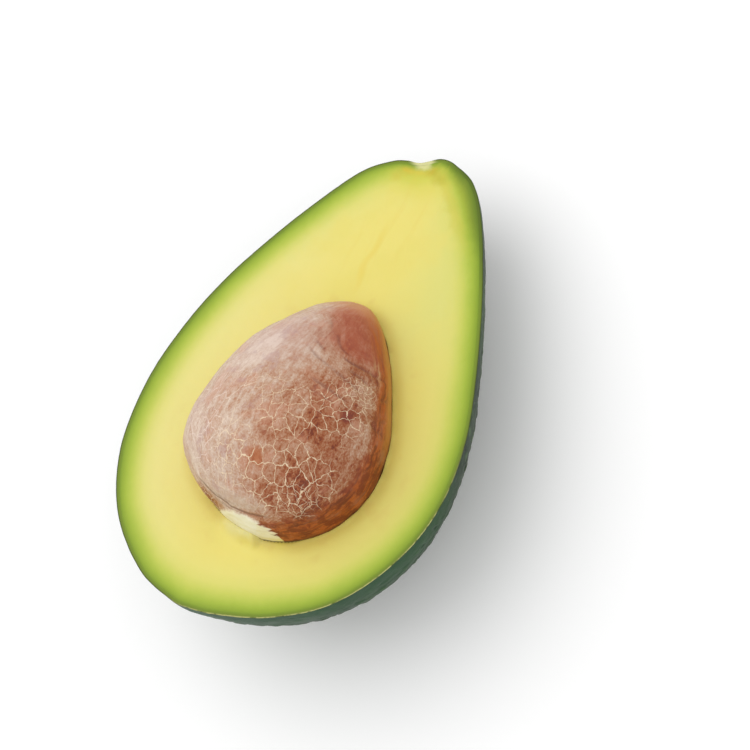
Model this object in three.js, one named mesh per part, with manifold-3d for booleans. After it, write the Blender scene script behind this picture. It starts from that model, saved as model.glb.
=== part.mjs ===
// Half an avocado, cut lengthwise, lying on its rounded back with the cut face up and the seed still
// in its hollow. It has three pieces: the leathery skin, the flesh and the seed.
//
// Units are millimetres. In the fruit's own frame the cut is the plane Z = 0 with the half below it,
// Y runs from the blunt end to the stem end, and X across. The group turns that frame to the pose in
// which the half rests, and puts the middle of the small flat spot that it rests on at the origin.

import * as THREE from "three";
import { mergeVertices } from "three/addons/utils/BufferGeometryUtils.js";
import Module from "manifold-3d";

const wasm = await Module();
wasm.setup();

// Driving sizes of the fruit
const FRUIT_LENGTH = 113;
const FRUIT_WIDTH = 74.6;
const DEPTH_SHARE = 0.88; // how deep the half is, as a share of half its width
const SKIN_THICKNESS = 0.8;
const FIT_GAP = 0.3; // air between neighbouring pieces

// Pebbles of the skin: rounded bumps raised from the smooth skin, one in each cell of a loose grid
const PEBBLE_PITCH = 4.6;
const PEBBLE_HEIGHT = 0.6;
const PEBBLE_TOP = 0.1; // distance from a pebble's middle, in pitches, at which it starts to fall off
const PEBBLE_FOOT = 0.85; // and at which it meets the skin between pebbles

// Driving sizes of the seed, and its middle in the fruit's frame
const SEED_LENGTH = 54.4;
const SEED_WIDTH = 42.8;
const SEED_DEPTH_SHARE = 0.92; // its depth as a share of its width
const SEED_CENTRE = new THREE.Vector3(1.4, 46.3, 2.5);

// How the half lies: tipped down towards the stem end until its weight is over the flat spot
const REST_PITCH = THREE.MathUtils.degToRad(-8);
const FLAT_TRIM = 0.4; // how much of the rounded back the flat spot takes off
const SMOOTH_RADIUS = 7; // no pebbles this near to the middle of the flat spot
const PEBBLED_RADIUS = 14; // and pebbles of full height from here on

const SKIN_GREEN = 0x3f6b35;
const FLESH_YELLOW = 0xe6df7a;
const SEED_BROWN = 0xa0694e;

// Edge of the cut face from the blunt end to the stem end. Each point is
// [share of the width from the middle line, share of the length from the blunt end].
const BLUNT_END = [-0.04, 0];
const STEM_END = [-0.047, 0.977];
const RIGHT_EDGE = [
  [0.055, 0.01],
  [0.21, 0.046],
  [0.355, 0.115],
  [0.458, 0.225],
  [0.5, 0.345],
  [0.482, 0.475],
  [0.42, 0.605],
  [0.33, 0.75],
  [0.225, 0.889],
  [0.142, 0.965],
  [0.06, 0.994],
  [0.008, 0.998],
];
const LEFT_EDGE = [
  [-0.1, 0.003],
  [-0.225, 0.031],
  [-0.372, 0.112],
  [-0.468, 0.23],
  [-0.5, 0.37],
  [-0.482, 0.5],
  [-0.433, 0.625],
  [-0.35, 0.755],
  [-0.265, 0.862],
  [-0.2, 0.928],
  [-0.132, 0.963],
  [-0.09, 0.973],
];

// Edge of the seed in the same form, as shares of its own width and length from its own middle
const SEED_BASE = [0.014, -0.498];
const SEED_TIP = [0.036, 0.5];
const SEED_RIGHT_EDGE = [
  [0.165, -0.487],
  [0.337, -0.415],
  [0.455, -0.29],
  [0.5, -0.144],
  [0.467, 0.018],
  [0.384, 0.171],
  [0.28, 0.317],
  [0.165, 0.439],
];
const SEED_LEFT_EDGE = [
  [-0.14, -0.473],
  [-0.325, -0.406],
  [-0.462, -0.297],
  [-0.5, -0.171],
  [-0.476, 0.002],
  [-0.405, 0.184],
  [-0.289, 0.338],
  [-0.13, 0.456],
];

// Facets: how many times each edge of an icosahedron is split to make a whole body
const SKIN_DETAIL = 25;
const SMOOTH_DETAIL = 12;
const SEED_DETAIL = 9;

// A smooth closed curve that runs up one side from the first end to the last and down the other side.
function closedEdge(firstEnd, right, lastEnd, left, width, length) {
  const points = [firstEnd, ...right, lastEnd, ...left.toReversed()];
  const scaled = points.map(([x, y]) => new THREE.Vector3(x * width, y * length, 0));
  return new THREE.CatmullRomCurve3(scaled, true, "catmullrom", 0.5);
}

// Point of a body at a share of the way along its edge and an angle round its middle. The sections
// are ellipses that reach from the left side of the edge to the right side.
function bodyPoint(edge, depthShare, share, angle) {
  const lengths = edge.getLengths();
  const upOneSide = lengths[(lengths.length - 1) / 2] / lengths.at(-1);
  const t = edge.getUtoTmapping(share * upOneSide);
  const right = edge.getPoint(t);
  const left = edge.getPoint(1 - t);
  const middle = right.clone().add(left).multiplyScalar(0.5);
  const reach = right.clone().sub(left).multiplyScalar(0.5);
  const depth = depthShare * reach.length() * Math.sin(angle);
  return middle.addScaledVector(reach, Math.cos(angle)).setZ(depth);
}

// A closed body inside an edge, made from a ball of even triangles whose poles become its two ends.
function bodyInside(edge, depthShare, detail) {
  const geometry = mergedByPlace(new THREE.IcosahedronGeometry(1, detail));
  const position = geometry.getAttribute("position");
  for (let i = 0; i < position.count; i++) {
    const onBall = new THREE.Vector3().fromBufferAttribute(position, i);
    const share = onBall.angleTo(new THREE.Vector3(0, -1, 0)) / Math.PI;
    const point = bodyPoint(edge, depthShare, share, Math.atan2(onBall.z, onBall.x));
    position.setXYZ(i, ...point.toArray());
  }
  geometry.computeVertexNormals();
  return geometry;
}

// Moves every vertex out along its normal by a distance that may depend on where it is.
function grown(geometry, distanceAt) {
  const result = geometry.clone();
  const position = result.getAttribute("position");
  const normal = result.getAttribute("normal");
  for (let i = 0; i < position.count; i++) {
    const point = new THREE.Vector3().fromBufferAttribute(position, i);
    const outward = new THREE.Vector3().fromBufferAttribute(normal, i);
    point.addScaledVector(outward, distanceAt(point));
    position.setXYZ(i, ...point.toArray());
  }
  return result;
}

// A repeatable number from 0 to 1 for one cell of the pebble grid
function scatter(x, y, z, salt) {
  const wave = Math.sin(x * 127.1 + y * 311.7 + z * 74.7 + salt * 19.19) * 43758.5453;
  return wave - Math.floor(wave);
}

// Distance from a point to the nearest pebble's middle, in pitches
function distanceToPebble(point) {
  const [gx, gy, gz] = point.toArray().map((value) => value / PEBBLE_PITCH);
  const neighbours = [-1, 0, 1];
  let nearest = Infinity;
  for (const x of neighbours.map((step) => Math.floor(gx) + step)) {
    for (const y of neighbours.map((step) => Math.floor(gy) + step)) {
      for (const z of neighbours.map((step) => Math.floor(gz) + step)) {
        const dx = x + scatter(x, y, z, 1) - gx;
        const dy = y + scatter(x, y, z, 2) - gy;
        const dz = z + scatter(x, y, z, 3) - gz;
        nearest = Math.min(nearest, Math.hypot(dx, dy, dz));
      }
    }
  }
  return nearest;
}

function pebbleHeight(point) {
  const fall = THREE.MathUtils.smoothstep(distanceToPebble(point), PEBBLE_TOP, PEBBLE_FOOT);
  const away = point.distanceTo(flatSpot);
  return PEBBLE_HEIGHT * (1 - fall) * THREE.MathUtils.smoothstep(away, SMOOTH_RADIUS, PEBBLED_RADIUS);
}

// Between geometries and solids that can be joined and cut
function mergedByPlace(geometry) {
  const bare = geometry.clone();
  bare.deleteAttribute("normal");
  bare.deleteAttribute("uv");
  return mergeVertices(bare, 1e-4);
}

function toSolid(geometry) {
  const merged = mergedByPlace(geometry);
  const vertProperties = new Float32Array(merged.getAttribute("position").array);
  const triVerts = new Uint32Array(merged.index.array);
  return new wasm.Manifold(new wasm.Mesh({ numProp: 3, vertProperties, triVerts }));
}

function toGeometry(solid) {
  const mesh = solid.getMesh();
  const geometry = new THREE.BufferGeometry();
  geometry.setAttribute("position", new THREE.BufferAttribute(mesh.vertProperties, 3));
  geometry.setIndex(new THREE.BufferAttribute(mesh.triVerts, 1));
  geometry.computeVertexNormals();
  return geometry;
}

// The whole fruit without its pebbles, and the whole seed
const fruitEdge = closedEdge(BLUNT_END, RIGHT_EDGE, STEM_END, LEFT_EDGE, FRUIT_WIDTH, FRUIT_LENGTH);
const seedEdge = closedEdge(
  SEED_BASE, SEED_RIGHT_EDGE, SEED_TIP, SEED_LEFT_EDGE, SEED_WIDTH, SEED_LENGTH,
);

function fruitBody(detail) {
  return bodyInside(fruitEdge, DEPTH_SHARE, detail);
}

function seedBody() {
  const seed = bodyInside(seedEdge, SEED_DEPTH_SHARE, SEED_DETAIL);
  return seed.translate(...SEED_CENTRE.toArray());
}

// The rest pose: the flat spot's middle is the lowest point of the keel, less what is trimmed off.
const restTurn = new THREE.Quaternion().setFromAxisAngle(new THREE.Vector3(1, 0, 0), REST_PITCH);
const downInFruit = new THREE.Vector3(0, 0, -1).applyQuaternion(restTurn.clone().invert());
const flatSpot = lowestOfKeel().addScaledVector(downInFruit, -FLAT_TRIM);

function lowestOfKeel() {
  const steps = 400;
  let lowest = bodyPoint(fruitEdge, DEPTH_SHARE, 0, -Math.PI / 2);
  for (let i = 1; i <= steps; i++) {
    const point = bodyPoint(fruitEdge, DEPTH_SHARE, i / steps, -Math.PI / 2);
    if (point.dot(downInFruit) > lowest.dot(downInFruit)) lowest = point;
  }
  return lowest;
}

// Everything above the cut, which the knife takes away
function otherHalf() {
  const size = 2 * FRUIT_LENGTH;
  return toSolid(new THREE.BoxGeometry(size, size, size).translate(0, FRUIT_LENGTH / 2, size / 2));
}

// Everything lower than a height above the surface that the half rests on
function lowerThan(height) {
  const size = FRUIT_LENGTH;
  const slab = new THREE.BoxGeometry(size, size, size).translate(0, 0, height - size / 2);
  slab.applyQuaternion(restTurn.clone().invert());
  return toSolid(slab.translate(...flatSpot.toArray()));
}

// What is left of the fruit this far in from its skin, with the back pressed flat where it rests
function fruitInside(inset) {
  return toSolid(grown(fruitBody(SMOOTH_DETAIL), () => -inset)).subtract(lowerThan(inset));
}

// A shell of even thickness with pebbles raised outwards, open at the cut
function makeSkin() {
  const outside = toSolid(grown(fruitBody(SKIN_DETAIL), pebbleHeight)).subtract(lowerThan(0));
  return toGeometry(outside.subtract(fruitInside(SKIN_THICKNESS)).subtract(otherHalf()));
}

// Fills the skin, and is hollowed where the seed lies
function makeFlesh() {
  const hollow = toSolid(grown(seedBody(), () => FIT_GAP));
  const inSkin = fruitInside(SKIN_THICKNESS + FIT_GAP);
  return toGeometry(inSkin.subtract(otherHalf()).subtract(hollow));
}

function namedMesh(name, geometry, color, roughness) {
  const material = new THREE.MeshStandardMaterial({ color, roughness, metalness: 0 });
  const mesh = new THREE.Mesh(geometry, material);
  mesh.name = name;
  return mesh;
}

const half = new THREE.Group();
half.add(namedMesh("skin", makeSkin(), SKIN_GREEN, 0.45));
half.add(namedMesh("flesh", makeFlesh(), FLESH_YELLOW, 0.5));
half.add(namedMesh("seed", seedBody(), SEED_BROWN, 0.55));
half.quaternion.copy(restTurn);
half.position.copy(flatSpot).applyQuaternion(restTurn).negate();

const avocado = new THREE.Group();
avocado.add(half);

export default avocado;
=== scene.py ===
# Half an avocado with its seed in place, lying on its rounded back on a pale floor. Everything is in
# metres. Shapes are worked out in the fruit's own frame, where the cut is the plane z = 0 with the
# half below it, y runs from the blunt end to the stem end and x across, and are then laid down.
import math

import bmesh
import bpy
import numpy as np
from mathutils import Matrix, Vector


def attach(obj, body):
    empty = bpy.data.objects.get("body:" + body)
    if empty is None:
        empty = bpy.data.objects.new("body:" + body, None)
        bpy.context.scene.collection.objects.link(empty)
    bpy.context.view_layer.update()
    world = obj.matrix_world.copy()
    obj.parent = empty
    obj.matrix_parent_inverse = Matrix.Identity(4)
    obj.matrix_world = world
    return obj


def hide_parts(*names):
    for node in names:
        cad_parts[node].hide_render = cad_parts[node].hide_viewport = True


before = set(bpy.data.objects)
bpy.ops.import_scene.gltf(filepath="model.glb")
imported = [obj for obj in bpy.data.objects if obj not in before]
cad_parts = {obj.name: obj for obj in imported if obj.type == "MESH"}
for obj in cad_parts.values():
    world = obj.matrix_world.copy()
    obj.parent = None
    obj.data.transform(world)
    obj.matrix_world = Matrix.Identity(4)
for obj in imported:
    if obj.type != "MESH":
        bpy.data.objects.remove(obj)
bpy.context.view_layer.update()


# The flesh
# One soft, buttery body that fills the skin and is hollow where the seed lies. A knife has cut it
# lengthwise, so its top is flat and smooth, and it clings to the skin all over its back.
MM = 0.001
FRUIT_LENGTH = 113 * MM
FRUIT_WIDTH = 74.6 * MM
DEPTH_SHARE = 0.88  # depth of the half, as a share of half its width
SKIN_THICKNESS = 0.8 * MM
REST_PITCH = math.radians(-8)  # tipped down towards the stem end
FLAT_TRIM = 0.4 * MM  # how much of the round back is pressed flat where it rests

# Points of the edge of the cut, up its right side from the blunt end and down its left side, as
# shares of the width from the middle line and of the length from the blunt end
FRUIT_EDGE = [
    (-0.04, 0), (0.055, 0.01), (0.21, 0.046), (0.355, 0.115), (0.458, 0.225), (0.5, 0.345),
    (0.482, 0.475), (0.42, 0.605), (0.33, 0.75), (0.225, 0.889), (0.142, 0.965), (0.06, 0.994),
    (0.008, 0.998),
    (-0.047, 0.977), (-0.09, 0.973), (-0.132, 0.963), (-0.2, 0.928), (-0.265, 0.862),
    (-0.35, 0.755), (-0.433, 0.625), (-0.482, 0.5), (-0.5, 0.37), (-0.468, 0.23), (-0.372, 0.112),
    (-0.225, 0.031), (-0.1, 0.003),
]
SEED_LENGTH = 54.4 * MM
SEED_WIDTH = 42.8 * MM
SEED_DEPTH_SHARE = 0.92
SEED_CENTRE = np.array([1.4, 46.3, 2.5]) * MM
SEED_EDGE = [
    (0.014, -0.498), (0.165, -0.487), (0.337, -0.415), (0.455, -0.29), (0.5, -0.144),
    (0.467, 0.018), (0.384, 0.171), (0.28, 0.317), (0.165, 0.439),
    (0.036, 0.5), (-0.13, 0.456), (-0.289, 0.338), (-0.405, 0.184), (-0.476, 0.002),
    (-0.5, -0.171), (-0.462, -0.297), (-0.325, -0.406), (-0.14, -0.473),
]


class Body:
    """A round body known by the edge line up its right side and down its left. Sections across it
    are ellipses from side to side, so its depth follows its width."""

    STEPS = 64  # how finely the line runs between two of its points

    def __init__(self, edge, width, length, depth_share, centre, swell):
        knots = np.array(edge) * (width, length) + centre[:2]
        following = np.roll(knots, -1, axis=0)
        slope = (following - np.roll(knots, 1, axis=0)) / 2
        t = np.linspace(0, 1, self.STEPS, endpoint=False)[:, None, None]
        line = (
            (2 * t**3 - 3 * t**2 + 1) * knots
            + (t**3 - 2 * t**2 + t) * slope
            + (3 * t**2 - 2 * t**3) * following
            + (t**3 - t**2) * np.roll(slope, -1, axis=0)
        )
        line = line.transpose(1, 0, 2).reshape(-1, 2)
        ahead = np.roll(line, -1, axis=0) - np.roll(line, 1, axis=0)
        outward = np.stack([ahead[:, 1], -ahead[:, 0]], axis=1)
        self.line = line + swell * outward / np.linalg.norm(outward, axis=1, keepdims=True)
        half = len(line) // 2
        right = self.line[: half + 1]
        left = np.roll(self.line[::-1], 1, axis=0)[: half + 1]
        steps = np.linalg.norm(np.diff(right, axis=0), axis=1)
        self.share = np.concatenate([[0], np.cumsum(steps)]) / steps.sum()
        self.middle = (right + left) / 2
        self.reach = (right - left) / 2
        self.depth = depth_share * np.linalg.norm(self.reach, axis=1)
        self.height = centre[2]

    def along(self, share):
        """Middle, sideways reach and depth of the section a share of the way up the edge."""
        values = np.column_stack([self.middle, self.reach, self.depth])
        found = np.stack([np.interp(share, self.share, column) for column in values.T], axis=-1)
        return found[..., :2], found[..., 2:4], found[..., 4]

    def on_ball(self, directions):
        """Where points of a ball go when its poles on the y axis become the two ends of the body."""
        middle, reach, depth = self.along(np.arccos(np.clip(-directions[:, 1], -1, 1)) / math.pi)
        angle = np.arctan2(directions[:, 2], directions[:, 0])
        flat = middle + reach * np.cos(angle)[:, None]
        return np.column_stack([flat, self.height + depth * np.sin(angle)])

    def level(self, z, count):
        """The loop in which the plane at height z cuts the body: evenly spaced points from the
        blunt end up the right side and down the left, the last one the same as the first."""
        drop = abs(z - self.height)
        widest = int(np.argmax(self.depth))
        low = np.interp(drop, self.depth[: widest + 1], self.share[: widest + 1])
        high = np.interp(drop, self.depth[widest:][::-1], self.share[widest:][::-1])
        share = low + (high - low) * (1 - np.cos(np.linspace(0, math.pi, 8 * count))) / 2
        middle, reach, depth = self.along(share)
        slack = np.sqrt(np.clip(1 - (drop / np.maximum(depth, 1e-9)) ** 2, 0, 1))
        slack[[0, -1]] = 0
        sides = []
        for side in (middle + reach * slack[:, None], middle - reach * slack[:, None]):
            length = np.concatenate([[0], np.cumsum(np.linalg.norm(np.diff(side, axis=0), axis=1))])
            even = np.linspace(0, max(length[-1], 1e-9), count + 1)
            sides.append(np.column_stack([np.interp(even, length, column) for column in side.T]))
        ring = np.concatenate([sides[0], sides[1][-2::-1]])
        return np.column_stack([ring, np.full(len(ring), z)])


def fruit_body(swell):
    """The fruit, grown by a distance all round."""
    return Body(FRUIT_EDGE, FRUIT_WIDTH, FRUIT_LENGTH, DEPTH_SHARE, (0, 0, 0), swell)


def seed_body(swell):
    return Body(SEED_EDGE, SEED_WIDTH, SEED_LENGTH, SEED_DEPTH_SHARE, SEED_CENTRE, swell)


# Laid down, the lowest point of the keel touches the floor, less what is pressed flat.
fruit = fruit_body(0)
tip_over = Matrix.Rotation(REST_PITCH, 4, "X")
keel = np.column_stack([fruit.middle, -fruit.depth])
keel_below = -(keel @ np.array(tip_over.to_3x3()).T)[:, 2]
flat_spot = Vector(keel[np.argmax(keel_below)]) + tip_over.inverted() @ Vector((0, 0, FLAT_TRIM))
lie = tip_over @ Matrix.Translation(-flat_spot)


def laid_down(points, clearance):
    """Points of the fruit's frame where they lie on the floor, pressed flat at their clearance."""
    placed = points @ np.array(lie.to_3x3()).T + np.array(lie.translation)
    placed[:, 2] = np.maximum(placed[:, 2], clearance)
    return placed


def new_piece(name, form, finish):
    """A smooth-shaded piece from a bmesh, which rides on the body and stands for its namesake."""
    mesh = bpy.data.meshes.new(name)
    form.to_mesh(mesh)
    form.free()
    mesh.materials.append(finish)
    mesh.shade_smooth()
    piece = bpy.data.objects.new(name, mesh)
    bpy.context.scene.collection.objects.link(piece)
    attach(piece, "root")
    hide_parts(name)


def vertex_places(form):
    return np.array([vertex.co for vertex in form.verts])


def move_vertices(form, places):
    for vertex, place in zip(form.verts, places):
        vertex.co = place


def keep_value(form, name, values):
    """Stores a number for each vertex, which the material reads by its name."""
    layer = form.verts.layers.float.new(name)
    for vertex, value in zip(form.verts, values):
        vertex[layer] = value


def keep_crisp(form):
    """Lets the shading break where a knife has left a corner."""
    for edge in form.edges:
        edge.smooth = edge.calc_face_angle(0) < CRISP_ANGLE


def smoothstep(low, high, value):
    t = np.clip((value - low) / (high - low), 0, 1)
    return t * t * (3 - 2 * t)


def distance_to(line, points):
    """Distance from each point to the nearest point of a line, both in the plane of the cut."""
    nearest = np.empty(len(points))
    for start in range(0, len(points), 4000):
        apart = points[start : start + 4000, None, :] - line[None, ::3, :]
        nearest[start : start + 4000] = np.sqrt((apart**2).sum(axis=2).min(axis=1))
    return nearest


def swirl(points, size, salt):
    """Smooth, repeatable noise from about -1 to 1, made of crossed waves of about the given size."""
    draws = np.random.default_rng(salt)
    total = np.zeros(len(points))
    for _ in range(8):
        direction = draws.normal(size=points.shape[1])
        direction *= 2 * math.pi / (size * np.linalg.norm(direction)) * draws.uniform(0.7, 1.4)
        total += np.sin(points @ direction + draws.uniform(0, 2 * math.pi))
    return total / 4


# The flesh is a stack of loops: up the hollow, out across the cut, over its soft edge and down the
# back. A sheet of faces is laid on the stack, and its seam and its two poles are closed.
SIDE_STEPS = 290
HOLLOW_ROWS = 13
CUT_ROWS = 90
EDGE_ROWS = 2
BACK_ROWS = 12
SOFT_EDGE = 0.02 * MM
CRISP_ANGLE = math.radians(35)
FIT = 0.01 * MM  # what is left between neighbours that touch

hollow_shape = seed_body(FIT)
flesh_shape = fruit_body(-SKIN_THICKNESS)
loops = []
for turn in np.linspace(0, math.acos(SEED_CENTRE[2] / hollow_shape.depth.max()), HOLLOW_ROWS):
    floor_height = SEED_CENTRE[2] - hollow_shape.depth.max() * math.cos(turn)
    loops.append(hollow_shape.level(floor_height, SIDE_STEPS))
inner_loop = seed_body(0).level(0, SIDE_STEPS)
outer_loop = fruit_body(-SKIN_THICKNESS - SOFT_EDGE).level(0, SIDE_STEPS)
for across in np.linspace(0, 1, CUT_ROWS):
    share = 0.6 * across + 0.4 * (1 - math.cos(math.pi * across)) / 2
    loops.append(inner_loop + share * (outer_loop - inner_loop))
rim_loop = flesh_shape.level(0, SIDE_STEPS)
for turn in np.linspace(0, math.pi / 2, EDGE_ROWS + 1)[1:]:
    loop = outer_loop + math.sin(turn) * (rim_loop - outer_loop)
    loops.append(loop - (0, 0, SOFT_EDGE * (1 - math.cos(turn))))
back_start = math.asin(SOFT_EDGE / flesh_shape.depth.max())
for turn in np.linspace(back_start, math.pi / 2, BACK_ROWS + 1)[1:]:
    loops.append(flesh_shape.level(-flesh_shape.depth.max() * math.sin(turn), SIDE_STEPS))
stack = np.array(loops)
flesh_points = stack.reshape(-1, 3)
plan = flesh_points[:, :2]
from_skin = distance_to(fruit.line, plan)
from_seed = distance_to(inner_loop[:, :2], plan)
row = np.repeat(np.arange(len(loops)), stack.shape[1])
on_cut = (row >= HOLLOW_ROWS) & (row < HOLLOW_ROWS + CUT_ROWS)

# Relief of the cut: long shallow waves left by the knife, a thin lip that clings to the seed, a
# ridge drawn up against the seed at its base, and a crevice that goes on from it along the seed
LEVEL_RIM = 4 * MM  # the waves fade from here to the skin
KNIFE_WAVE = 0.09 * MM
KNIFE_WAVE_SIZE = 17 * MM
GRAIN_HEIGHT = 0.02 * MM
GRAIN_SIZE = 3.5 * MM
LIP_HEIGHT = 0.25 * MM
LIP_WIDTH = 0.6 * MM
LIP_WAVE_SIZE = 6 * MM
RIDGE_FROM, RIDGE_TO = -6.4 * MM, 5.4 * MM  # how far across it goes
RIDGE_RISE, RIDGE_FALL = 5 * MM, 1.6 * MM  # over how long a stretch its two ends run out
RIDGE_HEIGHT = 2.3 * MM
RIDGE_TOP = 0.5 * MM  # width of its level top, and of its slope
RIDGE_SLOPE = 1.7 * MM
RIDGE_WAVE_SIZE = 4 * MM
CREVICE_TO = 15 * MM
CREVICE_RISE, CREVICE_FALL = 1.2 * MM, 4 * MM
CREVICE_WIDTH = 0.45 * MM
CREVICE_DEPTH = 0.25 * MM
DENT = np.array([-3.2, 110.4]) * MM
DENT_HALF_SIZES = np.array([3.2, 2.0]) * MM
DENT_DEPTH = 0.3 * MM
DENT_CLEARANCE = 2 * MM  # full depth only this far from the skin
DENT_WAVE_SIZE = 2.6 * MM

away_from_skin = smoothstep(SKIN_THICKNESS, LEVEL_RIM, from_skin)
relief = away_from_skin * KNIFE_WAVE * swirl(plan, KNIFE_WAVE_SIZE, 3)
relief += away_from_skin * GRAIN_HEIGHT * swirl(plan, GRAIN_SIZE, 5)
lip = np.exp(-((from_seed / LIP_WIDTH) ** 2))
relief += LIP_HEIGHT * lip * (0.7 + 0.5 * swirl(plan, LIP_WAVE_SIZE, 6))
at_base = plan[:, 1] < SEED_CENTRE[1]
ridge = smoothstep(RIDGE_FROM, RIDGE_FROM + RIDGE_RISE, plan[:, 0]) * at_base
ridge *= 1 - smoothstep(RIDGE_TO - RIDGE_FALL, RIDGE_TO, plan[:, 0])
ridge *= np.exp(-((np.maximum(from_seed - RIDGE_TOP, 0) / RIDGE_SLOPE) ** 2))
relief += RIDGE_HEIGHT * ridge * (1 + 0.12 * swirl(plan, RIDGE_WAVE_SIZE, 9))
crevice = smoothstep(RIDGE_TO - CREVICE_RISE, RIDGE_TO, plan[:, 0]) * at_base
crevice *= 1 - smoothstep(CREVICE_TO - CREVICE_FALL, CREVICE_TO, plan[:, 0])
relief -= CREVICE_DEPTH * crevice * np.exp(-((from_seed / CREVICE_WIDTH) ** 2))
from_dent = (plan - DENT) / DENT_HALF_SIZES + 0.15 * swirl(plan, DENT_WAVE_SIZE, 8)[:, None]
dent = np.exp(-(from_dent**2).sum(axis=1))
dent *= smoothstep(SKIN_THICKNESS, DENT_CLEARANCE, from_skin)
relief -= DENT_DEPTH * dent
flesh_points[:, 2] += np.where(on_cut, relief, 0)

flesh_form = bmesh.new()
columns = stack.shape[1] - 1
bmesh.ops.create_grid(flesh_form, x_segments=columns, y_segments=len(loops) - 1, size=1)
move_vertices(flesh_form, laid_down(flesh_points, SKIN_THICKNESS))
keep_value(flesh_form, "from_skin", from_skin / MM)
keep_value(flesh_form, "from_seed", from_seed / MM)
keep_value(flesh_form, "crevice", crevice)
bmesh.ops.remove_doubles(flesh_form, verts=flesh_form.verts, dist=1e-6)
bmesh.ops.recalc_face_normals(flesh_form, faces=flesh_form.faces)
keep_crisp(flesh_form)


LIGHT_LEVEL = 1.16  # brightness of a white surface that lies open to the sky and the lamp


class Wire:
    """The value on a socket of a material in the making. Python's operators add its Math nodes."""

    def __init__(self, socket):
        self.socket = socket

    def node(self, kind, settings, inputs, output=0):
        """Adds a node: its settings, such as a colour scale's stops, are made first, and then its
        sockets get values or links."""
        node = self.socket.id_data.nodes.new("ShaderNode" + kind)
        for name, value in settings.items():
            if name == "stops":
                set_stops(node.color_ramp.elements, value)
            else:
                setattr(node, name, value)
        feed(node, inputs)
        return Wire(node.outputs[output])

    def math(self, operation, *others):
        return self.node("Math", {"operation": operation}, dict(enumerate((self, *others))))

    def __add__(self, other):
        return self.math("ADD", other)

    def __radd__(self, other):
        return self.math("ADD", other)

    def __sub__(self, other):
        return self.math("SUBTRACT", other)

    def __rsub__(self, other):
        return self.node("Math", {"operation": "SUBTRACT"}, {0: other, 1: self})

    def __mul__(self, other):
        return self.math("MULTIPLY", other)

    def __rmul__(self, other):
        return self.math("MULTIPLY", other)

    def rise(self, low, high):
        """A mask that goes smoothly from 0 at the first value to 1 at the second."""
        edges = {"Value": self, "From Min": min(low, high), "From Max": max(low, high)}
        ends = {"To Min": float(low > high), "To Max": float(low < high)}
        return self.node("MapRange", {"interpolation_type": "SMOOTHSTEP"}, edges | ends)

    def blend(self, first, second):
        """From the first colour where this mask is 0 to the second where it is 1."""
        return self.node("Mix", {"data_type": "RGBA"}, {0: self, 6: first, 7: second}, 2)

    def ramp(self, stops):
        """The colour that goes with this value on a scale of values and colours."""
        top = stops[-1][0]
        shares = [(value / top, colour) for value, colour in stops]
        return self.node("ValToRGB", {"stops": shares}, {0: self * (1 / top)})

    def shifted(self, offset):
        return self.node("VectorMath", {"operation": "ADD"}, {0: self, 1: offset})

    def scaled(self, sizes):
        """The place in a space where things of these lengths along x, y and z are 1 long."""
        steps = tuple(1 / size for size in sizes)
        return self.node("VectorMath", {"operation": "MULTIPLY"}, {0: self, 1: steps})

    def noise(self, sizes, detail=2.0, roughness=0.5):
        """Cloudy noise from 0 to 1, mostly near 0.5, with features of the given sizes."""
        grain = {"Scale": 1.0, "Detail": detail, "Roughness": roughness}
        return self.node("TexNoise", {}, {"Vector": self.scaled(sizes)} | grain)

    def bent(self, size, distance):
        """The place, moved about by up to roughly half the distance in waves of the given size."""
        inputs = {"Vector": self.scaled((size, size, size)), "Scale": 1.0, "Detail": 2.0}
        push = self.node("TexNoise", {}, inputs, "Color").shifted((-0.5, -0.5, -0.5))
        reach = (distance, distance, distance)
        return push.node("VectorMath", {"operation": "MULTIPLY_ADD"}, {0: push, 1: reach, 2: self})

    def spot(self, centre, sizes):
        """A soft spot: 1 at a place and falling to 0 at the given distances from it."""
        offset = self.shifted(tuple(-c for c in centre)).scaled(sizes)
        return offset.node("VectorMath", {"operation": "LENGTH"}, {0: offset}, "Value").rise(1, 0)

    def part(self, axis):
        return self.node("SeparateXYZ", {}, {0: self}, axis)

    def bump(self, height, distance, strength):
        return self.node("Bump", {}, {"Height": height, "Distance": distance, "Strength": strength})


def set_stops(elements, stops):
    """Gives a new colour scale, which has a stop at each end, all its stops."""
    for position, _ in stops[1:-1]:
        elements.new(position)
    for element, (position, colour) in zip(elements, stops):
        element.position = position
        element.color = (*colour, 1)


def feed(node, inputs):
    for key, value in inputs.items():
        socket = node.inputs[key]
        if isinstance(value, Wire):
            socket.id_data.links.new(value.socket, socket)
        elif socket.type == "RGBA":
            socket.default_value = (*value, 1)
        else:
            socket.default_value = value


def paint(red, green, blue):
    """The colour of a surface that a picture shows, from 0 to 255, where the light falls fully."""
    seen = np.array([red, green, blue]) / 255
    light = np.where(seen <= 0.04045, seen / 12.92, ((seen + 0.055) / 1.055) ** 2.4)
    return tuple(float(value) / LIGHT_LEVEL for value in light)


def new_finish(name):
    """A material, its main shader, and a wire with the place in the fruit's frame in millimetres."""
    finish = bpy.data.materials.new(name)
    finish.use_nodes = True
    shader = finish.node_tree.nodes["Principled BSDF"]
    place = Wire(finish.node_tree.nodes.new("ShaderNodeTexCoord").outputs["Object"])
    back = lie.inverted()
    inputs = {
        "Vector": place,
        "Location": back.translation / MM,
        "Rotation": back.to_euler(),
        "Scale": (1 / MM, 1 / MM, 1 / MM),
    }
    return finish, shader, place.node("Mapping", {}, inputs)


def attribute(wire, name):
    return wire.node("Attribute", {"attribute_name": name}, {}, "Fac")


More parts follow.
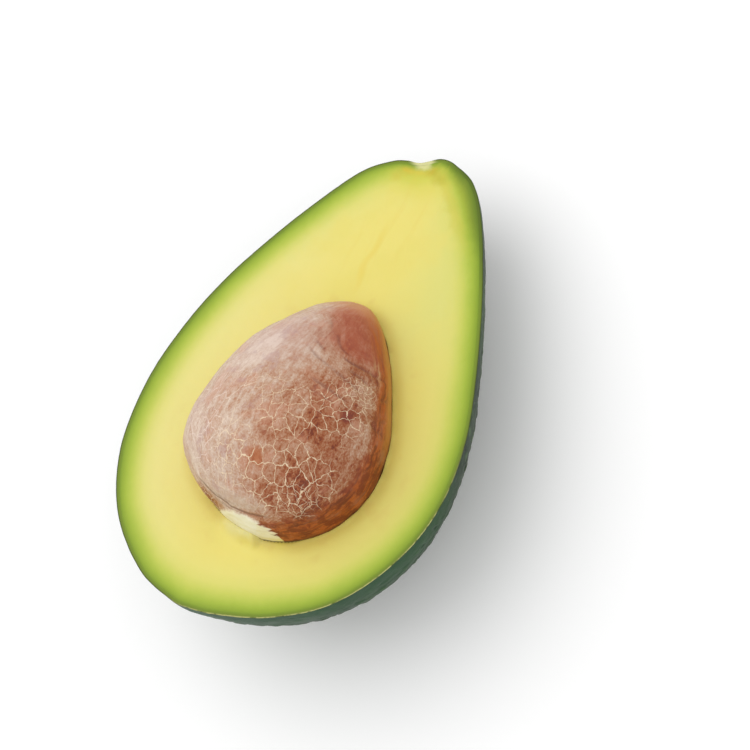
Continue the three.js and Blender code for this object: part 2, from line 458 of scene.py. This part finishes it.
# Colour of the flesh by millimetres from the outside of the skin: green, then lime and yellow-green,
# then a warm pale yellow
FLESH_BAND = [
    (0.0, paint(110, 134, 30)), (0.7, paint(125, 152, 34)), (1.2, paint(145, 171, 42)),
    (2.3, paint(171, 193, 60)), (3.5, paint(193, 207, 80)), (4.8, paint(212, 217, 97)),
    (6.5, paint(229, 225, 117)), (9.0, paint(239, 229, 126)), (13.0, paint(243, 229, 124)),
]
flesh_finish, shader, place = new_finish("cut flesh")
x, y = place.part("X"), place.part("Y")
skin_mm = attribute(place, "from_skin")
seed_mm = attribute(place, "from_seed")
cloud = place.noise((9, 11, 9), 3)
fine = place.noise((1.4, 2.2, 1.4), 3)
shoulder = place.spot((16, 103, 0), (15, 17, 20))
wavering = 0.4 * (cloud - 0.5) + 0.15 * (fine - 0.5)
colour = (skin_mm * (1.0 - 0.35 * shoulder) + skin_mm.rise(0.3, 3) * 3 * wavering).ramp(FLESH_BAND)
inner = skin_mm.rise(3, 9)
# Painted light and shade: the cut is a little darker and more tan towards the right, paler towards
# the left.
colour = (inner * x.rise(2, 26) * 0.2).blend(colour, paint(232, 214, 102))
colour = (inner * x.rise(-4, -26) * 0.45).blend(colour, paint(246, 236, 160))
colour = (inner * x.rise(0, 16) * y.rise(58, 80) * 0.6).blend(colour, paint(226, 226, 130))
colour = (inner * y.rise(55, 90) * cloud.rise(0.4, 0.65) * 0.6).blend(colour, paint(240, 226, 118))

# Deeper gold, partly painted shade, where the seed lay against it, and faint tan blotches there
colour = (seed_mm.rise(3.6, 0.2) * (0.2 + 0.5 * cloud)).blend(colour, paint(222, 190, 76))
blotch = place.noise((5, 6, 5), 2).rise(0.55, 0.7) * seed_mm.rise(9, 2)
colour = (blotch * 0.2).blend(colour, paint(222, 180, 92))

# Stains round the dent where the stem sat, and a yellow vein from it down the right shoulder, past
# which the flesh is greener. Stains are given by place, size, strength and colour.
VEIN_SIDE = (0.739, 0.675, 0)  # the way that is square to the vein
VEIN_AT = 75.3  # and how far along it the vein lies
ragged = place.bent(3.0, 3.0)
clear_of_skin = skin_mm.rise(0.8, 2.6)
sideways = ragged.node("VectorMath", {"operation": "DOT_PRODUCT"}, {0: ragged, 1: VEIN_SIDE}, "Value")
past_vein = sideways - VEIN_AT
high = y.rise(90, 102)
shoulder_green = skin_mm.rise(0.5, 5).blend(paint(98, 124, 22), paint(184, 196, 56))
colour = (past_vein.rise(0, 4) * high * 0.8).blend(colour, shoulder_green)
vein = past_vein.math("ABSOLUTE").rise(2.2, 0.2) * high * x.rise(0, 4)
colour = (vein * clear_of_skin * 0.4).blend(colour, paint(216, 200, 64))
frayed = place.bent(1.4, 1.6)
for centre, sizes, strength, tint in [
    ((-2.6, 106.6, 0), (12, 7, 9), 0.6, (228, 218, 84)),
    ((-5.7, 108.3, 0), (2.6, 2.4, 4), 0.6, (226, 190, 52)),
    ((-7.2, 106.0, 0), (2.2, 2.4, 4), 0.35, (216, 192, 64)),
    ((-3.0, 108.2, 0), (4.0, 1.6, 4), 0.5, (236, 208, 76)),
    ((0.0, 109.3, 0), (2.6, 2.4, 4), 0.65, (206, 176, 42)),
    ((2.4, 108.0, 0), (3.0, 2.4, 4), 0.5, (190, 180, 42)),
]:
    colour = (frayed.spot(centre, sizes) * clear_of_skin * strength).blend(colour, paint(*tint))
pale_dent = frayed.spot((-3.1, 110.3, 0), (3.8, 2.4, 4)).rise(0, 0.8)
colour = (pale_dent * 0.85).blend(colour, paint(238, 234, 164))
colour = (ragged.spot((1.2, 19.4, 1.6), (9, 3.4, 5)) * 0.9).blend(colour, paint(242, 233, 164))
# Painted shade: a dark line on the flesh along the crevice beside the seed.
painted_crevice_shade = attribute(place, "crevice") * (seed_mm + 0.3 * (fine - 0.5)).rise(0.42, 0.22)
colour = (painted_crevice_shade * 0.75).blend(colour, paint(120, 106, 52))
# Painted shadow: a faint olive line where the flesh's ridge meets the seed on the left.
painted_contact_shadow = seed_mm.rise(0.42, 0.2) * x.rise(2.6, 0.6) * x.rise(-9, -7) * y.rise(25, 23)
colour = (painted_contact_shadow * 0.6).blend(colour, paint(150, 138, 60))

# Faint fibres run down from the stem to the seed's tip, one of them plainer than the rest.
PLAIN_FIBRE_AT = -3.6  # how far across it runs
neck = y.rise(73, 82) * (x + 1.0).math("ABSOLUTE").rise(12, 3)
fibre = place.bent(14.0, 5.0).noise((2.0, 40, 8), 3, 0.6).rise(0.5, 0.68)
colour = (neck * fibre * 0.16).blend(colour, paint(236, 206, 84))
from_fibre = (place.bent(9.0, 3.0).part("X") - PLAIN_FIBRE_AT).math("ABSOLUTE")
plain_fibre = from_fibre.rise(1.1, 0.1) * y.rise(74, 82) * y.rise(97, 89)
colour = (plain_fibre * 0.4).blend(colour, paint(240, 212, 84))
feed(
    shader,
    {
        "Base Color": colour,
        "Roughness": 0.5 + 0.16 * (cloud - 0.5),
        "Normal": place.bump(place.noise((0.5, 0.9, 0.5), 4, 0.6), 0.05 * MM, 0.5),
        "Specular IOR Level": 0.28,
        "Subsurface Weight": 0.15,
        "Subsurface Radius": (1.0, 0.75, 0.25),
        "Subsurface Scale": 2.0 * MM,
    },
)
new_piece("flesh", flesh_form, flesh_finish)


# The skin
# A tough leathery rind, thinner than a millimetre, that holds the flesh all over its back. Its
# outside is pebbled, with low bumps and small dark pits, and the knife has left its edge bare.
BUMP_PITCH = 2.9 * MM
BUMP_HEIGHT = 0.36 * MM
BUMP_TOP, BUMP_FOOT = 0.05, 0.7  # shares of the pitch at which a bump is full and ends
PIT_PITCH = 4.3 * MM
PIT_DEPTH = 0.5 * MM
PIT_FLOOR, PIT_RIM = 0.06, 0.27  # and the same for a pit
PITLESS_SHARE = 0.35  # of the dots, where the skin has no pit
WANDER = 0.5 * MM  # how far bumps and pits are drawn out of round
WANDER_SIZE = 3 * MM
ROLL_SIZE = 13 * MM
ROLL_HEIGHT = 0.15 * MM
SMOOTH_RADIUS = 6 * MM  # the skin has no bumps this near to the flat spot
PEBBLED_RADIUS = 12 * MM
QUIET_EDGE = 11 * MM  # and they fade over this depth towards the cut
QUIET_SHARE = 0.12  # of their height, which is left at the cut


def scatter(cells, salt):
    """A repeatable number from 0 to 1 for each cell of a grid."""
    wave = np.sin(cells @ np.array([127.1, 311.7, 74.7]) + salt * 19.19) * 43758.5453
    return wave - np.floor(wave)


def nearest_dot(points, pitch, salt):
    """Distance, in pitches, from each point to the nearest of a scatter of dots, and a number from
    0 to 1 that belongs to that dot."""
    grid = points / pitch
    home = np.floor(grid)
    nearest = np.full(len(points), np.inf)
    draw = np.zeros(len(points))
    for step in np.ndindex(3, 3, 3):
        cell = home + np.array(step) - 1
        jitter = np.stack([scatter(cell, salt + k) for k in (1, 2, 3)], axis=1)
        away = np.linalg.norm(cell + jitter - grid, axis=1)
        closer = away < nearest
        nearest = np.where(closer, away, nearest)
        draw = np.where(closer, scatter(cell, salt + 4), draw)
    return nearest, draw


def half_ball(subdivisions):
    """The lower half of a ball of even triangles, open at the cut."""
    form = bmesh.new()
    bmesh.ops.create_icosphere(form, subdivisions=subdivisions, radius=1)
    everything = form.verts[:] + form.edges[:] + form.faces[:]
    bmesh.ops.bisect_plane(
        form, geom=everything, dist=1e-6, plane_co=(0, 0, 0), plane_no=(0, 0, 1), clear_outer=True
    )
    return form


skin_form = half_ball(8)
skin_points = fruit.on_ball(vertex_places(skin_form))
move_vertices(skin_form, skin_points)
skin_form.normal_update()
outward = np.array([vertex.normal for vertex in skin_form.verts])
at_rim = np.array([vertex.is_boundary for vertex in skin_form.verts])
outward[at_rim, 2] = 0
outward /= np.linalg.norm(outward, axis=1, keepdims=True)
push = np.stack([swirl(skin_points, WANDER_SIZE, salt) for salt in (11, 12, 13)], axis=1)
warped = skin_points + WANDER * push
bump_away, bump_draw = nearest_dot(warped, BUMP_PITCH, 20)
pit_away, pit_draw = nearest_dot(warped, PIT_PITCH, 40)
from_rest = np.linalg.norm(skin_points - np.array(flat_spot), axis=1)
pebbled = smoothstep(SMOOTH_RADIUS, PEBBLED_RADIUS, from_rest)
bumps = (1 - smoothstep(BUMP_TOP, BUMP_FOOT, bump_away)) * (0.45 + 0.55 * bump_draw) * pebbled
pits = (1 - smoothstep(PIT_FLOOR, PIT_RIM, pit_away)) * (pit_draw > PITLESS_SHARE) * pebbled
lift = BUMP_HEIGHT * (bumps - 0.45 * pebbled) - PIT_DEPTH * pits
lift += ROLL_HEIGHT * pebbled * swirl(skin_points, ROLL_SIZE, 14)
lift *= QUIET_SHARE + (1 - QUIET_SHARE) * smoothstep(0, QUIET_EDGE, -skin_points[:, 2])
move_vertices(skin_form, laid_down(skin_points + outward * lift[:, None], 0))
keep_value(skin_form, "bumps", bumps)
keep_value(skin_form, "pits", pits)
keep_value(skin_form, "rind", np.zeros(len(lift)))

# The inner wall lies against the flesh, and the knife's cut joins the two walls.
inner_form = half_ball(6)
inner_points = fruit_body(FIT - SKIN_THICKNESS).on_ball(vertex_places(inner_form))
move_vertices(inner_form, laid_down(inner_points, SKIN_THICKNESS - FIT))
keep_value(inner_form, "rind", np.full(len(inner_points), SKIN_THICKNESS / MM))
bmesh.ops.reverse_faces(inner_form, faces=inner_form.faces)
inner_mesh = bpy.data.meshes.new("inner wall")
inner_form.to_mesh(inner_mesh)
inner_form.free()
skin_form.from_mesh(inner_mesh)
bpy.data.meshes.remove(inner_mesh)
open_edges = [edge for edge in skin_form.edges if edge.is_boundary]
bmesh.ops.bridge_loops(skin_form, edges=open_edges)
bmesh.ops.recalc_face_normals(skin_form, faces=skin_form.faces)
keep_crisp(skin_form)

# Dark green with paler bumps, near-black pits, pale speckles and a painted bluish sheen near the cut.
# Its cut edge goes on in the green of the flesh, with a painted highlight: a fine broken pale line.
RIND_BAND = [  # by millimetres in from the outside
    (0.0, paint(58, 68, 24)), (0.12, paint(84, 98, 34)), (0.3, paint(116, 136, 44)),
    (0.8, paint(130, 154, 46)),
]
skin_finish, shader, place = new_finish("pebbled skin")
bumps_in = attribute(place, "bumps")
pits_in = attribute(place, "pits")
rind = attribute(place, "rind")
x, y, z = (place.part(axis) for axis in "XYZ")
mottle = place.noise((2.4, 3.2, 2.4), 3)
colour = place.noise((16, 20, 16), 3).rise(0.35, 0.65).blend(paint(16, 42, 12), paint(34, 66, 22))
colour = (bumps_in.rise(0.35, 0.95) * (0.25 + 0.5 * mottle)).blend(colour, paint(84, 118, 60))
colour = (pits_in * 0.85).blend(colour, paint(18, 26, 18))
speckle = place.noise((0.8, 0.8, 0.8), 1).rise(0.69, 0.76)
colour = (speckle * 0.45).blend(colour, paint(132, 158, 104))
# Painted reflection: a bluish sheen of the pale floor, painted near the cut towards the blunt end.
painted_sheen = z.rise(-16, -0.5) * (y + 20 * (mottle - 0.5)).rise(56, 26)
colour = (painted_sheen * 0.75).blend(colour, paint(20, 76, 36))
cut_edge = rind.ramp(RIND_BAND)
# Painted highlight: a fine pale line, in broken pieces, where the cut edge catches the light.
highlight_noise = place.noise((1.6, 2.4, 1.6), 3)
highlight_pieces = highlight_noise.rise(0.34, 0.56) * (x * 0.05 - y * 0.03).rise(-0.6, 0.1)
painted_edge_highlight = highlight_pieces * (rind + 0.6 * (highlight_noise - 0.5)).rise(0.36, 0.14) * y.rise(58, 30)
cut_edge = (painted_edge_highlight * 0.8).blend(cut_edge, paint(214, 212, 132))
dent = place.spot((-3.1, 110.8, 0), (4.6, 2.6, 4)).rise(0, 0.7)
cut_edge = (x.rise(0, 8) * y.rise(82, 100) * 0.6).blend(cut_edge, paint(70, 90, 26))
cut_edge = (dent * 0.9).blend(cut_edge, paint(232, 228, 164))
colour = rind.rise(0.005, 0.03).blend(colour, cut_edge)
feed(
    shader,
    {
        "Base Color": colour,
        "Roughness": 0.46 + 0.2 * (mottle - 0.5),
        "Normal": place.bump(place.noise((0.35, 0.35, 0.35), 3, 0.6), 0.06 * MM, 0.6),
        "Specular IOR Level": 0.18,
    },
)
new_piece("skin", skin_form, skin_finish)


# The seed
# A hard round seed in a thin brown papery coat, bedded in the flesh by its fit alone. Its coat has
# a dusty bloom, a net of fine pale cracks, and a torn place at the base with flesh stuck to it.
TIP = (8, 19.5, 6.5)  # in millimetres from the seed's middle, like the places below
WAVES = [(0.2, 12, 21), (0.05, 4, 22), (0.025, 1.6, 27)]  # heights, sizes and salts of low lumps
CREASES = [  # distances from the tip, and depths
    (7.4, 0.3), (9.6, 0.45), (12.2, 0.3), (14.8, 0.3), (18.5, 0.35), (21.0, 0.25),
]
CREASE_WIDTH = 0.45
TURN_RADIUS = 18  # for laying things out by their turn round the seed's length
SPREAD_RADIUS = 22  # for laying the dome out flat round its crown
STUCK_LEFT, STUCK_RIGHT = -6.2, 8.9  # how far the stuck flesh goes across
STUCK_TOP = 7.2  # and how high up at its middle
STUCK_HEIGHT = 0.3
FAR_ABOVE = -9  # stands for the distance under its top where there is none

seed_form = bmesh.new()
bmesh.ops.create_icosphere(seed_form, subdivisions=7, radius=1)
directions = vertex_places(seed_form)
turn = np.arctan2(directions[:, 2], directions[:, 0])
seed_points = seed_body(0).on_ball(directions)
move_vertices(seed_form, seed_points)
seed_form.normal_update()
outward = np.array([vertex.normal for vertex in seed_form.verts])
in_mm = (seed_points - SEED_CENTRE) / MM
lift = sum(height * swirl(in_mm, size, salt) for height, size, salt in WAVES)
from_tip = np.linalg.norm(in_mm - TIP, axis=1) + 0.9 * swirl(in_mm, 9, 24)
creased = np.zeros(len(in_mm))
for distance, depth in CREASES:
    here = np.exp(-(((from_tip - distance) / CREASE_WIDTH) ** 2)) * (in_mm[:, 2] > 2)
    creased += depth * here * smoothstep(-0.3, 0.5, swirl(in_mm + distance, 8, 25))
creased *= smoothstep(-2, 4, in_mm[:, 0])
lift -= creased

# The stuck flesh is a strip that rises from the cut at the base, highest near its middle.
across = (in_mm[:, 0] - STUCK_LEFT) / (STUCK_RIGHT - STUCK_LEFT)
strip_top = STUCK_TOP * np.sin(math.pi * np.clip(across, 0, 1)) ** 0.6 + 0.35 * swirl(in_mm, 4, 23)
in_strip = (across > 0) & (across < 1) & (in_mm[:, 1] < 0)
under_top = np.where(in_strip, strip_top - in_mm[:, 2], FAR_ABOVE)
thickness = STUCK_HEIGHT * smoothstep(0, 0.8, under_top) * smoothstep(-1.5, 1.5, in_mm[:, 2])
lift += thickness * (0.8 + 0.3 * swirl(in_mm * (1, 1, 3), 5, 26))
move_vertices(seed_form, laid_down(seed_points + outward * (lift * MM)[:, None], 0))
keep_value(seed_form, "under_top", under_top)
keep_value(seed_form, "from_tip", from_tip)
keep_value(seed_form, "creased", creased)
keep_value(seed_form, "turn_x", TURN_RADIUS * np.cos(turn))
keep_value(seed_form, "turn_z", TURN_RADIUS * np.sin(turn))
from_crown = np.hypot(in_mm[:, 0], in_mm[:, 1])
spread = SPREAD_RADIUS * np.arctan2(from_crown, in_mm[:, 2]) / np.maximum(from_crown, 1e-6)
keep_value(seed_form, "spread_x", spread * in_mm[:, 0])
keep_value(seed_form, "spread_y", spread * in_mm[:, 1])

seed_finish, shader, place = new_finish("seed coat")
place = place.shifted(tuple(-SEED_CENTRE / MM))
x, y, z = (place.part(axis) for axis in "XYZ")
ragged = place.bent(3.0, 3.5)
cloud = place.noise((6, 7, 6), 4, 0.6)
patch = place.bent(2.0, 2.0).noise((2.4, 3.2, 2.4), 4, 0.6)
fine = place.noise((0.9, 1.2, 0.9), 4, 0.65)
grain = place.noise((0.38, 0.5, 0.38), 2, 0.6)
lengthwise = place.node(
    "CombineXYZ", {}, {0: attribute(place, "turn_x"), 1: y, 2: attribute(place, "turn_z")}
)
wisps = lengthwise.bent(5.0, 2.5).noise((0.8, 6, 0.8), 4, 0.6)
round_tip = place.node("CombineXYZ", {}, {0: x, 1: attribute(place, "from_tip"), 2: z})
arcs = round_tip.bent(4.0, 1.5).noise((7, 1.1, 7), 5, 0.65)
streak = place.bent(5.0, 2.4).noise((4, 6, 0.7), 5, 0.65)  # fibres along the edge of the hollow

# Below a wavering height on the right the coat is bare: that is the fibrous band.
band = (z + 4 * (cloud - 0.5) + 2 * (patch - 0.5)).rise(7.2, 4.6) * (x + 5 * (patch - 0.5)).rise(3, 8)

# How thickly the pale dusty bloom lies: nearly closed high on the left and thin low on the right,
# thicker or thinner in places, given by place, size and change, and broken up by wisps and grain
bloom = 1.04 - 0.7 * (x + 8 * (cloud - 0.5)).rise(-10, 17) - 0.34 * band
for centre, sizes, change in [
    ((-7.4, 5.4, 15.9), (7, 7, 9), 0.25),
    ((-2.5, 1.6, 18.2), (5, 4, 6), -0.15),
    ((5.5, 18.2, 9.2), (11, 11, 11), -0.3),
    ((-8, -24.5, 4.2), (8, 6, 4.6), -0.9),
    ((-6.4, 8.5, 14.6), (4, 3, 5), 0.3),
    ((-9, -6, 17), (8, 10, 10), -0.1),
    ((0, 12.5, 14.5), (8, 5, 7), -0.16),
    ((4, 8.5, 16), (8, 4, 8), 0.12),
    ((9.3, 1.8, 16.1), (5, 5, 6), -0.2),
    ((11.7, -5.5, 16.4), (6, 7, 7), -0.2),
    ((4, -10.5, 19.2), (4, 4, 6), -0.22),
    ((14.8, 5.4, 10), (5, 6, 7), 0.2),
    ((18.5, -3.2, 9.1), (5, 8, 7), 0.2),
    ((15.2, -0.3, 12.4), (2.6, 2.8, 4), -0.3),
    ((3.8, -16.4, 17.4), (3.2, 2.8, 5), -0.3),
    ((1.6, -24.2, 10.3), (9, 5, 5), 0.18),
    ((12, -19, 11), (14, 9, 11), -0.2),
    ((20.2, -9.5, 6), (4, 7, 4), -0.18),
]:
    bloom = bloom + change * ragged.spot(centre, sizes).rise(0, 0.8)
flakes = place.bent(1.5, 1.2).noise((3.4, 4.6, 3.4), 5, 0.6).rise(0.5, 0.57)
tip_zone = ragged.spot((6, 18, 8), (20, 15, 18))
dust = 0.8 * (fine - 0.5) + 1.0 * (grain - 0.5)
calm = ragged.spot((-3, 8, 14), (14, 14, 12)) * 0.4
bloom = bloom + 0.6 * (patch - 0.5) + dust * (1 - 0.55 * tip_zone - calm) + 0.07 - 0.15 * flakes
bloom = bloom + 1.0 * (wisps - 0.5) * band.rise(1, 0) + 1.7 * (streak - 0.5) * band
bloom = bloom + 1.6 * (arcs - 0.5) * tip_zone
COAT_BAND = [  # from the bare coat to the thickest bloom
    (0.0, paint(122, 50, 18)), (0.15, paint(150, 72, 30)), (0.27, paint(162, 90, 48)),
    (0.4, paint(172, 112, 75)), (0.65, paint(191, 142, 112)), (0.9, paint(204, 169, 144)),
    (1.15, paint(217, 190, 169)), (1.45, paint(233, 211, 192)),
]
colour = bloom.ramp(COAT_BAND)
for mask, strength, tint in [
    (ragged.spot((-6, 11, 14), (15, 15, 14)), 0.35, (216, 184, 178)),  # lilac high on the left
    (cloud.rise(0.5, 0.62), 0.3, (210, 146, 116)),  # warmer and cooler clouds
    (patch.rise(0.46, 0.36) * x.rise(6, -4), 0.3, (190, 158, 160)),
    (attribute(place, "from_tip").rise(12, 5), 0.65, (178, 84, 54)),  # reddish tip
    (ragged.spot((3, 25, 3), (16, 6, 8)), 0.65, (216, 144, 98)),  # and its paler crest
    (ragged.spot((15.2, -0.3, 12.4), (2.6, 2.8, 4)), 0.7, (140, 60, 38)),
    (ragged.spot((3.8, -16.4, 17.4), (3.2, 2.8, 5)), 0.7, (190, 112, 66)),
    (ragged.spot((1, -24, 9.6), (9, 5, 2.6)), 0.45, (204, 184, 156)),  # dusty above the folds
    (band * streak.rise(0.35, 0.6), 0.85, (186, 88, 26)),
    (band * y.rise(6, 0) * patch.rise(0.53, 0.43), 0.75, (124, 42, 14)),
    (ragged.spot((13.5, -22.3, 5.5), (8, 5, 3.4)) * patch.rise(0.5, 0.58), 0.7, (96, 30, 12)),
]:
    colour = (mask * strength).blend(colour, paint(*tint))

# Painted shade in the creases round the tip, pale strips of film along the right, a golden rim beside
# the tip and a tan one on the left, and painted shade low on the seed where it goes down into the
# flesh
# Painted shade: the creases are darkened in colour.
painted_crease_shade = attribute(place, "creased").rise(0.05, 0.35)
colour = (painted_crease_shade * 0.45).blend(colour, paint(122, 66, 52))
film = ragged.spot((13.2, 11.5, 6.0), (4, 8, 2.0)) * streak.rise(0.42, 0.56)
colour = (film * 0.75).blend(colour, paint(214, 184, 136))
gold_rim = (z + 1.5 * (cloud - 0.5)).rise(3.6, 0.5) * (y + 0.5 * x).rise(4, 16)
colour = (gold_rim * 0.75).blend(colour, paint(206, 146, 68))
left_rim = (z + 1.0 * (cloud - 0.5)).rise(1.0, -1.0) * x.rise(0, -4)
colour = (left_rim * 0.6).blend(colour, paint(196, 136, 76))
# Painted shade: darker brown low on the left, where the seed meets the flesh.
colour = (z.rise(-0.9, -1.7) * x.rise(-2, -6) * 0.7).blend(colour, paint(104, 68, 34))
# Painted shade: a dark band low on the right, where the seed goes down into the flesh.
painted_contact_shade = z.rise(-0.6, -2.4) * (x + 0.4 * y).rise(-6, 6)
colour = (painted_contact_shade * 0.7).blend(colour, paint(84, 48, 20))

# Nets of cracks, laid out flat round the crown so that their lines keep an even width
laid_flat = {0: attribute(place, "spread_x"), 1: attribute(place, "spread_y")}
flat = place.node("CombineXYZ", {}, laid_flat)
jagged = flat.bent(5.0, 3.0).bent(1.1, 1.0).bent(0.45, 0.35)


def crack_net(wander, sizes, width):
    """Thin lines between cells of about the given sizes, in a space where places wander."""
    settings = {"feature": "DISTANCE_TO_EDGE", "voronoi_dimensions": "2D"}
    inputs = {"Vector": wander.scaled((*sizes, 1)), "Scale": 1.0, "Randomness": 1.0}
    return wander.node("TexVoronoi", settings, inputs, "Distance").rise(width, width * 0.2)


wide_net = crack_net(jagged, (2.5, 2.8), 0.04)
close_net = crack_net(jagged, (1.5, 1.7), 0.055)
long_net = crack_net(flat.bent(4.0, 2.0).bent(1.1, 0.5), (3.2, 9.0), 0.022)
lines = 0
for net, centre, sizes, scraps, strength in [
    (wide_net, (10, -17.5, 13), (18, 13, 13), 0.8, 1.0),
    (close_net, (13, -19.5, 11), (7, 5, 7), 1.6, 0.6),
    (close_net, (14.5, 6, 10.5), (6, 6, 8), 1.4, 1.0),
    (wide_net, (14, 0, 13), (9, 11, 10), 1.4, 1.0),
    (wide_net, (6, -5, 18), (11, 10, 9), 1.8, 0.8),
    (wide_net, (-5, -17, 15), (15, 13, 11), 1.6, 0.9),
    (close_net, (-8, -24.5, 4.4), (7, 5, 4.4), 1.0, 1.2),
    (long_net, (-9, -9, 16), (12, 17, 14), 1.2, 0.8),
    (wide_net, (0, -2, 18), (8, 6, 7), 2.0, 0.5),
]:
    zone = (ragged.spot(centre, sizes) * (1 + scraps * (cloud + patch - 1.0))).rise(0.1, 0.5)
    lines = (net * zone * strength).math("MAXIMUM", lines)
lines = lines * (0.5 + 1.6 * (fine - 0.25)) * band.rise(0.9, 0.3)
line_colour = x.rise(-2, -10).blend(paint(246, 220, 184), paint(240, 216, 200))
colour = (lines * 1.1).math("MINIMUM", 0.95).blend(colour, line_colour)

# Folds of the coat along the lower left, the torn place with its stuck flesh, and painted crevice
# shade
MAIN_FOLD_HEIGHT = 7.8
folds = place.noise((9, 9, 0.45), 3, 0.6).rise(0.5, 0.57)
folds = ragged.spot((-2, -24.8, 7.6), (13, 6, 2.4)) * folds
from_fold = (z + 0.05 * x + 1.2 * (patch - 0.5) - MAIN_FOLD_HEIGHT).math("ABSOLUTE")
main_fold = from_fold.rise(0.42, 0.12) * y.rise(-21, -23) * x.rise(-12, -8) * x.rise(9, 5)
folds = (folds * 0.7).math("MAXIMUM", main_fold)
colour = (folds * 0.65).blend(colour, paint(112, 70, 46))
torn = attribute(place, "under_top") + 1.2 * (fine - 0.5) + 5.0 * (streak - 0.5) * x.rise(3, 7)
stuck_flesh = z.rise(-2.2, 1).blend(paint(248, 234, 150), paint(250, 240, 200))
stuck_flesh = (streak.rise(0.45, 0.7) * 0.35).blend(stuck_flesh, paint(232, 208, 156))
stuck_flesh = (cloud.rise(0.5, 0.6) * 0.5).blend(stuck_flesh, paint(255, 250, 226))
colour = torn.rise(-0.2, 0.9).blend(colour, stuck_flesh)
# Painted shade: a dark line on the seed where the crevice runs beside it.
crevice = z.rise(-1.7, -2.1) * x.rise(3.4, 4.8) * x.rise(15, 10) * y.rise(-12, -15)
colour = (crevice * 0.75).blend(colour, paint(104, 84, 42))
relief = fine * 0.4 + grain * 0.25 + streak * band * 0.6 + lines * 0.35 - folds * 0.5 + patch * 0.4
feed(
    shader,
    {
        "Base Color": colour,
        "Roughness": 0.5 + 0.25 * (fine - 0.5),
        "Normal": place.bump(relief, 0.16 * MM, 0.7),
        "Specular IOR Level": 0.4,
    },
)
new_piece("seed", seed_form, seed_finish)


# The floor and the light
# A plain pale floor, a wide soft lamp above the top left of the picture, and a white sky.
FLOOR_REACH = 3  # from its middle to each side
SKY_STRENGTH = 0.86
LAMP_DIRECTION = Vector((-0.45, 0.05, 1.0)).normalized()
LAMP_DISTANCE = 0.9

floor_form = bmesh.new()
bmesh.ops.create_grid(floor_form, x_segments=1, y_segments=1, size=FLOOR_REACH)
floor_mesh = bpy.data.meshes.new("floor")
floor_form.to_mesh(floor_mesh)
floor_form.free()
floor = bpy.data.objects.new("floor", floor_mesh)
bpy.context.scene.collection.objects.link(floor)
floor_finish, shader, _ = new_finish("pale floor")
feed(shader, {"Base Color": (1, 1, 1), "Roughness": 0.8, "Specular IOR Level": 0.2})
floor_mesh.materials.append(floor_finish)

world = bpy.data.worlds.new("soft white sky")
world.use_nodes = True
feed(world.node_tree.nodes["Background"], {"Color": (1, 1, 1), "Strength": SKY_STRENGTH})
bpy.context.scene.world = world

lamp = bpy.data.lights.new("key lamp", "AREA")
lamp.shape = "DISK"
lamp.size = 1.0
lamp.energy = 2.9
key = bpy.data.objects.new("key lamp", lamp)
key.location = LAMP_DIRECTION * LAMP_DISTANCE
key.rotation_euler = LAMP_DIRECTION.to_track_quat("Z", "Y").to_euler()
bpy.context.scene.collection.objects.link(key)

# The camera
# It looks down on the cut face from 30 degrees off square to it, rolled so that the stem end leans
# to the right of upright, as the half leans in the photo.
VIEW_AZIMUTH = math.radians(56)  # round the fruit from its blunt end towards its right side
VIEW_ELEVATION = math.radians(60)  # above the plane of the cut
STEM_LEAN = math.radians(27.7)
VIEW_DISTANCE = 449.6 * MM
AIM = Vector((10.6, 60.9, 0)) * MM
SENSOR_WIDTH = 36.0
LENS = 102.8

away = Vector((
    math.sin(VIEW_AZIMUTH) * math.cos(VIEW_ELEVATION),
    -math.cos(VIEW_AZIMUTH) * math.cos(VIEW_ELEVATION),
    math.sin(VIEW_ELEVATION),
))
stemward = (Vector((0, 1, 0)) - away * away.y).normalized()
upright = stemward * math.cos(STEM_LEAN) + away.cross(stemward) * math.sin(STEM_LEAN)
rightward = upright.cross(away)
axes = Matrix((rightward, upright, away)).transposed().to_4x4()
camera_data = bpy.data.cameras.new("camera")
camera_data.sensor_width = SENSOR_WIDTH
camera_data.lens = LENS
camera = bpy.data.objects.new("camera", camera_data)
camera.matrix_world = lie @ Matrix.Translation(AIM + away * VIEW_DISTANCE) @ axes
bpy.context.scene.collection.objects.link(camera)
bpy.context.scene.camera = camera
bpy.context.scene.view_settings.view_transform = "Standard"
